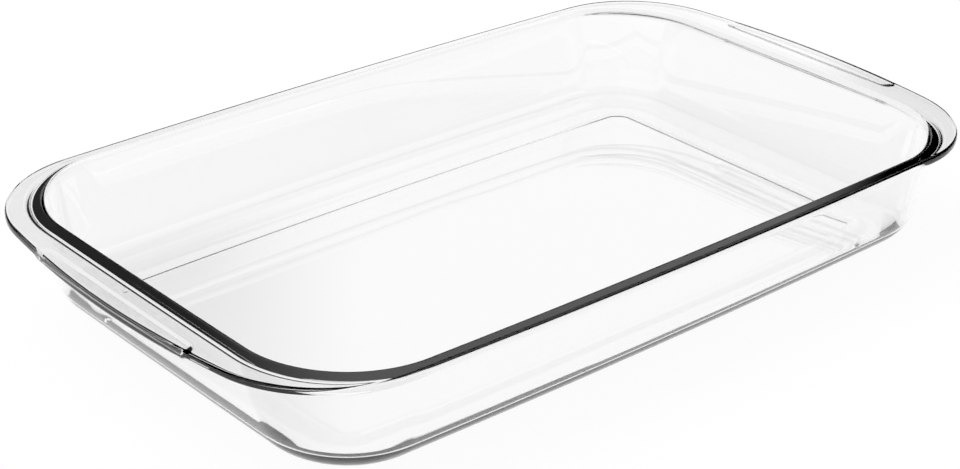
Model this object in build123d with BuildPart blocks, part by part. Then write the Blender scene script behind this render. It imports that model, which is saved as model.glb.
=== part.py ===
from build123d import *
import math
import os

# A clear pressed-glass baking dish, made in one piece.
# Origin: centre of the underside. X runs along the dish through both handles, Z up.
# All lengths are in millimetres.

# Rim, in plan: two bowed ends that serve as handles, and two sides that bow a little
overall_length = 386.0
overall_width = 224.5
overall_height = 48.0
rim_end_bow = 13.5
rim_side_bow = 3.9
rim_corner_radius = 50.5
rim_thickness = 3.6
rim_nose_radius = 1.3

# Outer face of the wall: how far the rim reaches past it, and how far it leans in down to the table
handle_reach = 16.3
side_rim_reach = 2.05
end_foot_inset = 11.4
side_foot_inset = 10.4
wall_top_corner_radius = 49.0
wall_foot_corner_radius = 33.0
wall_end_bow = 0.6
wall_side_bow = 3.0
foot_radius = 21.3
under_rim_radius = 0.6

# Glass thickness and the rounding of the hollow
wall_top_thickness = 5.5
wall_foot_thickness = 3.5
base_thickness = 8.5
cove_radius = 6.2
lip_radius = 2.6

# Grip strip that stands out under the outer edge of each handle
grip_strip_width = 96.0
grip_strip_reach = 8.0
grip_strip_depth = 1.0
grip_strip_corner_radius = 4.0

cut_overrun = 2.0

rim_underside = overall_height - rim_thickness
end_lean = end_foot_inset / rim_underside
side_lean = side_foot_inset / rim_underside
wall_foot_length = overall_length - 2 * handle_reach - 2 * end_foot_inset
wall_foot_width = overall_width - 2 * side_rim_reach - 2 * side_foot_inset


def bowed_outline(height, length, width, end_bow, side_bow, corner_radius):
    """Rounded rectangle whose four sides bulge, the largest size being length by width."""
    corner_x = length / 2 - end_bow
    corner_y = width / 2 - side_bow
    with BuildSketch(Plane.XY.offset(height)) as outline:
        with BuildLine():
            ThreePointArc((-corner_x, -corner_y), (0, -width / 2), (corner_x, -corner_y))
            ThreePointArc((corner_x, -corner_y), (length / 2, 0), (corner_x, corner_y))
            ThreePointArc((corner_x, corner_y), (0, width / 2), (-corner_x, corner_y))
            ThreePointArc((-corner_x, corner_y), (-length / 2, 0), (-corner_x, -corner_y))
        make_face()
        fillet(outline.vertices(), corner_radius)
    return outline.sketch


def wall_outline(height, inset=0):
    """Outline of the leaning wall at a height, set in level from its outer face."""
    rise_share = height / rim_underside
    corner_growth = (wall_top_corner_radius - wall_foot_corner_radius) * rise_share
    return bowed_outline(
        height,
        wall_foot_length + 2 * end_lean * height - 2 * inset,
        wall_foot_width + 2 * side_lean * height - 2 * inset,
        wall_end_bow,
        wall_side_bow,
        wall_foot_corner_radius + corner_growth - inset,
    )


def hollow_outline(height):
    """Outline of the wall's inner face at a height, where the glass grows thicker towards the rim."""
    rise_share = (height - base_thickness) / (overall_height - base_thickness)
    thickness = wall_foot_thickness + (wall_top_thickness - wall_foot_thickness) * rise_share
    lean_angle = math.atan((end_lean + side_lean) / 2)
    return wall_outline(height, thickness / math.cos(lean_angle))


# The hollow that holds the food
with BuildPart() as hollow:
    add(hollow_outline(base_thickness))
    add(hollow_outline(overall_height + cut_overrun))
    loft(ruled=True)
    fillet(hollow.faces().sort_by(Axis.Z)[0].edges(), cove_radius)


def rim_outline(height):
    return bowed_outline(
        height, overall_length, overall_width, rim_end_bow, rim_side_bow, rim_corner_radius
    )


# The rim as a flat plate with rounded edges
with BuildPart() as rim_plate:
    add(rim_outline(rim_underside))
    extrude(amount=rim_thickness)
    fillet(rim_plate.faces().filter_by(Plane.XY).edges(), rim_nose_radius)

# The two grip strips: a deeper rim, of which only the two ends are kept
with BuildPart() as grip_strips:
    strip_height = grip_strip_depth + rim_thickness / 2
    strip_span = grip_strip_reach + grip_strip_corner_radius
    strip_middle = overall_length / 2 - grip_strip_reach + strip_span / 2
    add(rim_outline(rim_underside - grip_strip_depth))
    extrude(amount=strip_height)
    fillet(grip_strips.faces().sort_by(Axis.Z)[0].edges(), rim_nose_radius)
    with BuildSketch(Plane.XY.offset(rim_underside - grip_strip_depth)):
        with Locations((-strip_middle, 0), (strip_middle, 0)):
            RectangleRounded(strip_span, grip_strip_width, grip_strip_corner_radius)
    extrude(amount=strip_height, mode=Mode.INTERSECT)

with BuildPart() as glass_dish:
    add(wall_outline(0))
    add(wall_outline(overall_height - cut_overrun))
    loft(ruled=True)
    fillet(glass_dish.faces().sort_by(Axis.Z)[0].edges(), foot_radius)

    add(rim_plate.part)
    rim_underside_face = glass_dish.faces().filter_by(Plane.XY).group_by(Axis.Z)[1].sort_by(SortBy.AREA)[-1]
    fillet(rim_underside_face.inner_wires()[0].edges(), under_rim_radius)
    add(grip_strips.part)

    add(hollow.part, mode=Mode.SUBTRACT)
    rim_top_face = glass_dish.faces().filter_by(Plane.XY).sort_by(Axis.Z)[-1]
    fillet(rim_top_face.inner_wires()[0].edges(), lip_radius)

glass_dish.part.label = "glass_dish"
os.makedirs("parts", exist_ok=True)
export_step(glass_dish.part, "parts/glass_dish.step")
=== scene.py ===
import math
from collections import namedtuple
from itertools import repeat

import bpy
from mathutils import Matrix, Vector, geometry, noise


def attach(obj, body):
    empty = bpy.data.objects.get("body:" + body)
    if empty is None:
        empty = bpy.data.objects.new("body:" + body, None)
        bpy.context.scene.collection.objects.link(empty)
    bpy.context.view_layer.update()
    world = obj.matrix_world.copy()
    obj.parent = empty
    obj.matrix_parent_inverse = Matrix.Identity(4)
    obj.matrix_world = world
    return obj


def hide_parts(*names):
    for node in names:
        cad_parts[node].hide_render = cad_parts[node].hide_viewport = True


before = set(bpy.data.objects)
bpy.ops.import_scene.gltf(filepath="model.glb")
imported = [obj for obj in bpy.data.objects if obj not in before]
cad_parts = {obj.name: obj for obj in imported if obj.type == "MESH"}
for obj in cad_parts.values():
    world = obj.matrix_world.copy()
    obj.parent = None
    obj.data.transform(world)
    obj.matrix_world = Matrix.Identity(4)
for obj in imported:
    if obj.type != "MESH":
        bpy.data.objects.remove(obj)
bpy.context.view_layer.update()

# A clear pressed-glass baking dish on a white table, in metres.
# X runs along the dish through both handles, Z is up, and the underside is at height zero.

# Rim, in plan
OVERALL_LENGTH = 0.386
OVERALL_WIDTH = 0.2245
OVERALL_HEIGHT = 0.048
RIM_END_BOW = 0.0135
RIM_SIDE_BOW = 0.0039
RIM_CORNER_RADIUS = 0.0505
RIM_THICKNESS = 0.0036
RIM_NOSE_RADIUS = 0.0013

# Outer face of the wall: how far the rim reaches past it, and how far it leans in down to the table
HANDLE_REACH = 0.0163
SIDE_RIM_REACH = 0.00205
END_FOOT_INSET = 0.0114
SIDE_FOOT_INSET = 0.0104
WALL_TOP_CORNER_RADIUS = 0.049
WALL_FOOT_CORNER_RADIUS = 0.033
WALL_END_BOW = 0.0006
WALL_SIDE_BOW = 0.003
FOOT_RADIUS = 0.0213

# Rounding between wall and rim: on the long sides, at the handles, and the most of its room it takes
UNDER_RIM_RADIUS = 0.0006
UNDER_HANDLE_RADIUS = 0.0045
UNDER_RIM_ROOM_SHARE = 0.9

# Glass thickness and the rounding of the hollow
WALL_TOP_THICKNESS = 0.0055
WALL_FOOT_THICKNESS = 0.0035
BASE_THICKNESS = 0.0085
COVE_RADIUS = 0.0062
LIP_RADIUS = 0.0026

# Grip strip that stands out under the outer edge of each handle, with soft edges. The rim's edge
# stretches down to it, but for a share of its thickness at the top.
GRIP_WIDTH = 0.096
GRIP_REACH = 0.008
GRIP_DEPTH = 0.001
GRIP_CORNER_RADIUS = 0.004
GRIP_SOFT_EDGE = 0.0024
UNSTRETCHED_SHARE = 0.25

# The underside stands on a flat ring, and is raised a little inside it
RING_WIDTH = 0.009
RAISED_BY = 0.0007
RAISED_SOFT_EDGE = 0.0025

# Surface left by the mould: shallow waves that only ever go inwards
WAVE_LENGTH = 0.045
WAVE_DEPTH = 0.00006

# Points of the mesh: round a quarter of the dish, and along its section
END_STEPS = 60
CORNER_STEPS = 26
SIDE_STEPS = 40
ROUNDING_STEPS = 16
EDGE_STEPS = 8
WALL_STEPS = 14
RIM_TOP_STEPS = 14
RIM_EDGE_STEPS = 2
RIM_UNDERSIDE_STEPS = 30

# Where the rings of a flat face lie, as shares of the way from its middle to its edge
FLAT_SHARES = (0.05, 0.15, 0.3, 0.45, 0.6, 0.7, 0.8, 0.86, 0.9, 0.93, 0.96, 0.985)

# Glass, with the least tint of grey and green
GLASS_IOR = 1.52
GLASS_COLOUR = (0.984, 0.988, 0.984, 1.0)

# Camera: place in metres, angles in degrees, lens and frame width in millimetres
CAMERA_PLACE = Vector((-0.53369, -0.57852, 0.40877))
CAMERA_HEADING = 47.989
CAMERA_DOWNWARD_TILT = 26.731
CAMERA_ROLL = 1.508
CAMERA_LENS = 79.6425
CAMERA_FRAME_WIDTH = 36.0
CAMERA_NEAREST = 0.01
QUARTER_TURN = 90.0

# Softboxes in a dark room, in degrees. Turns go from straight ahead of the camera to its left, and
# heights are above the horizon. Each has four limits: it fades in between the first two and out
# between the last two. Limits past 180 leave out the fade at the back of the room.
Softbox = namedtuple("Softbox", "turns heights level")
SOFTBOXES = (
    Softbox(turns=(-12.0, -9.0, 3.0, 9.0), heights=(18.0, 21.0, 35.0, 39.0), level=1.0),
    Softbox(turns=(3.0, 9.0, 14.0, 18.0), heights=(18.0, 21.0, 35.0, 39.0), level=0.16),
    Softbox(turns=(22.0, 28.0, 56.0, 62.0), heights=(20.0, 23.0, 29.0, 32.0), level=0.75),
    Softbox(turns=(-95.0, -85.0, -30.0, -20.0), heights=(36.0, 42.0, 56.0, 64.0), level=1.0),
    Softbox(turns=(105.0, 115.0, 181.0, 182.0), heights=(0.0, 8.0, 56.0, 64.0), level=0.75),
    Softbox(turns=(-182.0, -181.0, -115.0, -105.0), heights=(0.0, 8.0, 48.0, 56.0), level=0.55),
)

# White backdrop behind the dish, as seen through the glass, with the same kind of limits
BACKDROP_TURNS = (-70.0, -50.0, 50.0, 70.0)
BACKDROP_HEIGHTS = (-2.0, -1.0, 12.0, 32.0)

# Light on the table: the room's soft light, and the key light with its spread and tilts in degrees
SOFT_LIGHT = 0.7
KEY_LIGHT_STRENGTH = 2.2
KEY_LIGHT_SPREAD = 50.0
KEY_LIGHT_TILT = (-20.0, -25.0)

# White table, which mostly glows by itself, just clear of the dish
FLOOR_COLOUR = (0.8, 0.8, 0.8, 1.0)
FLOOR_GLOW_SHARE = 0.95
FLOOR_SIZE = 6.0
FLOOR_GAP = 0.0002

RIM_UNDERSIDE = OVERALL_HEIGHT - RIM_THICKNESS
END_LEAN = END_FOOT_INSET / RIM_UNDERSIDE
SIDE_LEAN = SIDE_FOOT_INSET / RIM_UNDERSIDE
WALL_FOOT_LENGTH = OVERALL_LENGTH - 2 * HANDLE_REACH - 2 * END_FOOT_INSET
WALL_FOOT_WIDTH = OVERALL_WIDTH - 2 * SIDE_RIM_REACH - 2 * SIDE_FOOT_INSET
LEAN_COSINE = math.cos(math.atan((END_LEAN + SIDE_LEAN) / 2))

Line = namedtuple("Line", "points outwards")


def bow_radius(half_chord, bow):
    """Radius of an arc from half its chord and its rise."""
    return (half_chord**2 + bow**2) / (2 * bow)


def heading(direction):
    return math.atan2(direction.y, direction.x)


def bowed_outline(height, length, width, end_bow, side_bow, corner_radius):
    """Level line round a rounded rectangle whose four sides bulge, and its outward directions."""
    end_radius = bow_radius(width / 2 - side_bow, end_bow)
    side_radius = bow_radius(length / 2 - end_bow, side_bow)
    end_centre = Vector((length / 2 - end_radius, 0))
    side_centre = Vector((0, width / 2 - side_radius))
    crossings = geometry.intersect_sphere_sphere_2d(
        end_centre, end_radius - corner_radius, side_centre, side_radius - corner_radius
    )
    corner_centre = max(crossings, key=sum)
    corner_start = heading(corner_centre - end_centre)
    corner_end = heading(corner_centre - side_centre)
    arcs = (
        (end_centre, end_radius, 0, corner_start, END_STEPS),
        (corner_centre, corner_radius, corner_start, corner_end, CORNER_STEPS),
        (side_centre, side_radius, corner_end, math.pi / 2, SIDE_STEPS),
    )
    quarter = []
    for centre, radius, start, end, steps in arcs:
        for step in range(steps):
            angle = start + (end - start) * step / steps
            outward = Vector((math.cos(angle), math.sin(angle)))
            quarter.append((centre + radius * outward, outward))
    quarter.append((Vector((0, width / 2)), Vector((0, 1))))

    line = Line([], [])
    for flip_x, flip_y in ((1, 1), (-1, 1), (-1, -1), (1, -1)):
        walk = quarter if flip_x == flip_y else quarter[::-1]
        for point, outward in walk[:-1]:
            line.points.append(Vector((flip_x * point.x, flip_y * point.y, height)))
            line.outwards.append(Vector((flip_x * outward.x, flip_y * outward.y, 0)))
    return line


def wall_line(height, thickness):
    """Line round the leaning wall at a height, a thickness of glass in from its outer face."""
    share = height / RIM_UNDERSIDE
    inset = thickness / LEAN_COSINE
    corner_growth = (WALL_TOP_CORNER_RADIUS - WALL_FOOT_CORNER_RADIUS) * share
    return bowed_outline(
        height,
        WALL_FOOT_LENGTH + 2 * END_LEAN * height - 2 * inset,
        WALL_FOOT_WIDTH + 2 * SIDE_LEAN * height - 2 * inset,
        WALL_END_BOW,
        WALL_SIDE_BOW,
        WALL_FOOT_CORNER_RADIUS + corner_growth - inset,
    )


def rim_line(height):
    return bowed_outline(
        height, OVERALL_LENGTH, OVERALL_WIDTH, RIM_END_BOW, RIM_SIDE_BOW, RIM_CORNER_RADIUS
    )


def directions(starts, ends):
    return [(end - start).normalized() for start, end in zip(starts, ends)]


def reversed_directions(ways):
    return [-way for way in ways]


def rounded_corner(corners, ways_in, ways_out, radii, steps):
    """Rings that turn every section at its corner from one direction to another."""
    rings = [[] for _ in range(steps + 1)]
    for corner, way_in, way_out, radius in zip(corners, ways_in, ways_out, radii):
        turn = way_in.angle(way_out)
        sideways = (way_out - way_in * math.cos(turn)) / math.sin(turn)
        start = corner - way_in * radius * math.tan(turn / 2)
        for step, ring in enumerate(rings):
            angle = turn * step / steps
            ring.append(start + radius * (way_in * math.sin(angle) + sideways * (1 - math.cos(angle))))
    return rings


def straight_run(start_ring, end_ring, steps):
    """The rings between two others, neither of which is in the answer."""
    shares = [step / steps for step in range(1, steps)]
    return [[start.lerp(end, share) for start, end in zip(start_ring, end_ring)] for share in shares]


def flat_rings(edge_ring, height):
    """Rings from near the middle of a flat face out to its edge, which is left out."""
    middle = Vector((0, 0, height))
    return [[middle.lerp(point, share) for point in edge_ring] for share in FLAT_SHARES]


def soft_step(value):
    """Goes softly from 0 to 1 as a value does, and stays level on both sides."""
    value = min(max(value, 0.0), 1.0)
    return value * value * (3 - 2 * value)


def lower_in_grip(point):
    """The underside of a handle goes down in its grip strip, and the edge above it stretches."""
    fixed_height = OVERALL_HEIGHT - RIM_THICKNESS * UNSTRETCHED_SHARE
    if point.z >= fixed_height:
        return point
    reach = abs(point.x) - (OVERALL_LENGTH / 2 - GRIP_REACH)
    span = GRIP_WIDTH / 2 - abs(point.y)
    inside = min(reach, span)
    if reach < GRIP_CORNER_RADIUS and span < GRIP_CORNER_RADIUS:
        inside = GRIP_CORNER_RADIUS - math.hypot(GRIP_CORNER_RADIUS - reach, GRIP_CORNER_RADIUS - span)
    drop = GRIP_DEPTH * soft_step((inside + GRIP_SOFT_EDGE / 2) / GRIP_SOFT_EDGE)
    stretch_share = (fixed_height - point.z) / (fixed_height - RIM_UNDERSIDE)
    return Vector((point.x, point.y, point.z - drop * stretch_share))


def under_rim_radii(wall_edge, rim_edge, ways_down):
    """The rounding under the rim, which grows towards the handles and never past the room there is."""
    radii = []
    for index, outward in enumerate(wall_edge.outwards):
        growth = (UNDER_HANDLE_RADIUS - UNDER_RIM_RADIUS) * soft_step(abs(outward.x))
        reach = (rim_edge.points[index] - wall_edge.points[index]).dot(outward)
        turn = ways_down[index].angle(-outward)
        largest = UNDER_RIM_ROOM_SHARE * (reach - RIM_NOSE_RADIUS) / math.tan(turn / 2)
        radii.append(min(UNDER_RIM_RADIUS + growth, largest))
    return radii


def dish_rings():
    """Rings of points over the whole skin: hollow, rim, outer wall and underside."""
    inner_low = wall_line(BASE_THICKNESS, WALL_FOOT_THICKNESS)
    inner_high = wall_line(OVERALL_HEIGHT, WALL_TOP_THICKNESS)
    outer_low = wall_line(0, 0)
    outer_high = wall_line(RIM_UNDERSIDE, 0)
    rim_high = rim_line(OVERALL_HEIGHT)
    rim_low = rim_line(RIM_UNDERSIDE)

    up_inside = directions(inner_low.points, inner_high.points)
    down_outside = directions(outer_high.points, outer_low.points)
    down = [Vector((0, 0, -1))] * len(rim_high.points)

    cove = rounded_corner(
        inner_low.points, inner_low.outwards, up_inside, repeat(COVE_RADIUS), ROUNDING_STEPS
    )
    lip = rounded_corner(
        inner_high.points, up_inside, inner_high.outwards, repeat(LIP_RADIUS), ROUNDING_STEPS
    )
    top_nose = rounded_corner(
        rim_high.points, rim_high.outwards, down, repeat(RIM_NOSE_RADIUS), EDGE_STEPS
    )
    low_nose = rounded_corner(
        rim_low.points, down, reversed_directions(rim_low.outwards), repeat(RIM_NOSE_RADIUS), EDGE_STEPS
    )
    under_rim = rounded_corner(
        outer_high.points,
        reversed_directions(outer_high.outwards),
        down_outside,
        under_rim_radii(outer_high, rim_low, down_outside),
        EDGE_STEPS,
    )
    foot = rounded_corner(
        outer_low.points,
        down_outside,
        reversed_directions(outer_low.outwards),
        repeat(FOOT_RADIUS),
        ROUNDING_STEPS,
    )

    rings = flat_rings(cove[0], BASE_THICKNESS)
    rings += cove
    rings += straight_run(cove[-1], lip[0], WALL_STEPS)
    rings += lip
    rings += straight_run(lip[-1], top_nose[0], RIM_TOP_STEPS)
    rings += top_nose
    edge = straight_run(top_nose[-1], low_nose[0], RIM_EDGE_STEPS)
    underside = straight_run(low_nose[-1], under_rim[0], RIM_UNDERSIDE_STEPS)
    for ring in edge + low_nose + underside:
        rings.append([lower_in_grip(point) for point in ring])
    rings += under_rim
    rings += straight_run(under_rim[-1], foot[0], WALL_STEPS)
    rings += foot
    rings += raised_underside(foot[-1], outer_low.outwards)
    return rings


def raised_underside(edge_ring, outwards):
    """Rings from the foot inwards: the ring that it stands on, the soft step up, and the rest."""
    rings = []
    for step in range(1, EDGE_STEPS + 1):
        share = step / EDGE_STEPS
        inset = RING_WIDTH + RAISED_SOFT_EDGE * share
        height = RAISED_BY * soft_step(share)
        rings.append(
            [
                Vector((point.x, point.y, height)) - inset * outward
                for point, outward in zip(edge_ring, outwards)
            ]
        )
    return rings + flat_rings(rings[-1], RAISED_BY)[::-1]


def skin(rings, first_height, last_height):
    """Points and faces of a closed skin over rings, with a point in the middle at both ends."""
    count = len(rings[0])
    points = [Vector((0, 0, first_height))]
    for ring in rings:
        points += ring
    points.append(Vector((0, 0, last_height)))
    last = len(points) - 1
    last_ring = last - count
    faces = []
    for here in range(count):
        there = (here + 1) % count
        faces.append((0, 1 + here, 1 + there))
        faces.append((last_ring + there, last_ring + here, last))
        for ring in range(len(rings) - 1):
            start = 1 + ring * count
            faces.append((start + here, start + count + here, start + count + there, start + there))
    return points, faces


def add_waves(mesh):
    """Moves every point a little way into the glass, by a slow noise."""
    normals = [vertex.normal.copy() for vertex in mesh.vertices]
    for vertex, normal in zip(mesh.vertices, normals):
        depth = WAVE_DEPTH * (1 + noise.noise(vertex.co / WAVE_LENGTH)) / 2
        vertex.co -= normal * depth


def add_object(name, points, faces):
    mesh = bpy.data.meshes.new(name)
    mesh.from_pydata(points, [], faces)
    made = bpy.data.objects.new(name, mesh)
    bpy.context.scene.collection.objects.link(made)
    return made


def shader_tree(owner):
    """An empty node tree on a material or world."""
    owner.use_nodes = True
    owner.node_tree.nodes.clear()
    return owner.node_tree


def put(tree, value, socket):
    """Sets a socket to a number or colour, or links another node's output to it."""
    if isinstance(value, bpy.types.NodeSocket):
        tree.links.new(value, socket)
    else:
        socket.default_value = value


def calculate(tree, operation, *values):
    node = tree.nodes.new("ShaderNodeMath")
    node.operation = operation
    for value, socket in zip(values, node.inputs):
        put(tree, value, socket)
    return node.outputs["Value"]


def rise(tree, value, start, end):
    """Goes softly from 0 to 1 as a value goes from start to end."""
    node = tree.nodes.new("ShaderNodeMapRange")
    node.interpolation_type = "SMOOTHSTEP"
    put(tree, value, node.inputs["Value"])
    node.inputs["From Min"].default_value = start
    node.inputs["From Max"].default_value = end
    return node.outputs["Result"]


def window(tree, value, limits):
    """1 between the two middle limits, and 0 outside the outer ones."""
    start, full_start, full_end, end = limits
    fall = calculate(tree, "SUBTRACT", 1.0, rise(tree, value, full_end, end))
    return calculate(tree, "MULTIPLY", rise(tree, value, start, full_start), fall)


def patch(tree, turn, height, turn_limits, height_limits):
    """1 on a patch of the room, and 0 outside it, with soft edges."""
    return calculate(
        tree, "MULTIPLY", window(tree, turn, turn_limits), window(tree, height, height_limits)
    )


def glass_material():
    material = bpy.data.materials.new("clear_glass")
    tree = shader_tree(material)
    shader = tree.nodes.new("ShaderNodeBsdfPrincipled")
    shader.inputs["Base Color"].default_value = GLASS_COLOUR
    shader.inputs["Roughness"].default_value = 0
    shader.inputs["IOR"].default_value = GLASS_IOR
    shader.inputs["Transmission Weight"].default_value = 1
    output = tree.nodes.new("ShaderNodeOutputMaterial")
    tree.links.new(shader.outputs["BSDF"], output.inputs["Surface"])
    return material


def make_floor():
    half = FLOOR_SIZE / 2
    corners = [(-half, -half), (half, -half), (half, half), (-half, half)]
    floor = add_object("floor", [(x, y, -FLOOR_GAP) for x, y in corners], [(0, 1, 2, 3)])
    material = bpy.data.materials.new("white_floor")
    tree = shader_tree(material)
    matt = tree.nodes.new("ShaderNodeBsdfDiffuse")
    matt.inputs["Color"].default_value = FLOOR_COLOUR
    glow = tree.nodes.new("ShaderNodeEmission")
    mix = tree.nodes.new("ShaderNodeMixShader")
    mix.inputs["Fac"].default_value = FLOOR_GLOW_SHARE
    tree.links.new(matt.outputs["BSDF"], mix.inputs[1])
    tree.links.new(glow.outputs["Emission"], mix.inputs[2])
    output = tree.nodes.new("ShaderNodeOutputMaterial")
    tree.links.new(mix.outputs["Shader"], output.inputs["Surface"])
    floor.data.materials.append(material)


def make_key_light():
    """A wide soft light from above, which only the floor shows, as the dish's pale shadow."""
    key = bpy.data.objects.new("key_light", bpy.data.lights.new("key_light", "SUN"))
    key.data.energy = KEY_LIGHT_STRENGTH
    key.data.angle = math.radians(KEY_LIGHT_SPREAD)
    tilt_x, tilt_y = KEY_LIGHT_TILT
    key.rotation_euler = (math.radians(tilt_x), math.radians(tilt_y), 0)
    key.visible_glossy = False
    key.visible_transmission = False
    bpy.context.scene.collection.objects.link(key)


def make_world():
    """A dark room with softboxes and a backdrop for the glass, where the camera itself sees white."""
    world = bpy.data.worlds.new("studio")
    bpy.context.scene.world = world
    tree = shader_tree(world)
    coordinates = tree.nodes.new("ShaderNodeTexCoord")
    facing = tree.nodes.new("ShaderNodeVectorRotate")
    facing.rotation_type = "Z_AXIS"
    facing.inputs["Angle"].default_value = -math.radians(CAMERA_HEADING)
    tree.links.new(coordinates.outputs["Generated"], facing.inputs["Vector"])
    direction = tree.nodes.new("ShaderNodeSeparateXYZ")
    tree.links.new(facing.outputs["Vector"], direction.inputs["Vector"])
    climb = calculate(tree, "ARCSINE", direction.outputs["Z"])
    height = calculate(tree, "DEGREES", climb)
    swing = calculate(tree, "ARCTAN2", direction.outputs["Y"], direction.outputs["X"])
    turn = calculate(tree, "DEGREES", swing)

    studio = 0.0
    for softbox in SOFTBOXES:
        share = patch(tree, turn, height, softbox.turns, softbox.heights)
        studio = calculate(tree, "MULTIPLY_ADD", share, softbox.level, studio)

    rays = tree.nodes.new("ShaderNodeLightPath")
    backdrop = patch(tree, turn, height, BACKDROP_TURNS, BACKDROP_HEIGHTS)
    through_glass = calculate(tree, "MULTIPLY", backdrop, rays.outputs["Is Transmission Ray"])
    level = calculate(tree, "MAXIMUM", studio, rays.outputs["Is Camera Ray"])
    level = calculate(tree, "MAXIMUM", level, through_glass)
    soft = calculate(tree, "MULTIPLY", rays.outputs["Is Diffuse Ray"], SOFT_LIGHT)
    level = calculate(tree, "MAXIMUM", level, soft)
    light = tree.nodes.new("ShaderNodeBackground")
    tree.links.new(level, light.inputs["Color"])
    output = tree.nodes.new("ShaderNodeOutputWorld")
    tree.links.new(light.outputs["Background"], output.inputs["Surface"])


def turned(degrees, axis):
    """A 4 by 4 matrix that turns by an angle about an axis."""
    return Matrix.Rotation(math.radians(degrees), 4, axis)


def make_camera():
    camera = bpy.data.objects.new("camera", bpy.data.cameras.new("camera"))
    bpy.context.scene.collection.objects.link(camera)
    camera.data.lens = CAMERA_LENS
    camera.data.sensor_width = CAMERA_FRAME_WIDTH
    camera.data.clip_start = CAMERA_NEAREST
    camera.matrix_world = (
        Matrix.Translation(CAMERA_PLACE)
        @ turned(CAMERA_HEADING - QUARTER_TURN, "Z")
        @ turned(QUARTER_TURN - CAMERA_DOWNWARD_TILT, "X")
        @ turned(CAMERA_ROLL, "Z")
    )
    bpy.context.scene.camera = camera


# The dish
dish = add_object("glass_dish_clear", *skin(dish_rings(), BASE_THICKNESS, RAISED_BY))
add_waves(dish.data)
dish.data.shade_smooth()
dish.data.materials.append(glass_material())
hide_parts("glass_dish")
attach(dish, "root")

make_floor()
make_key_light()
make_world()
make_camera()
bpy.context.scene.view_settings.view_transform = "Standard"
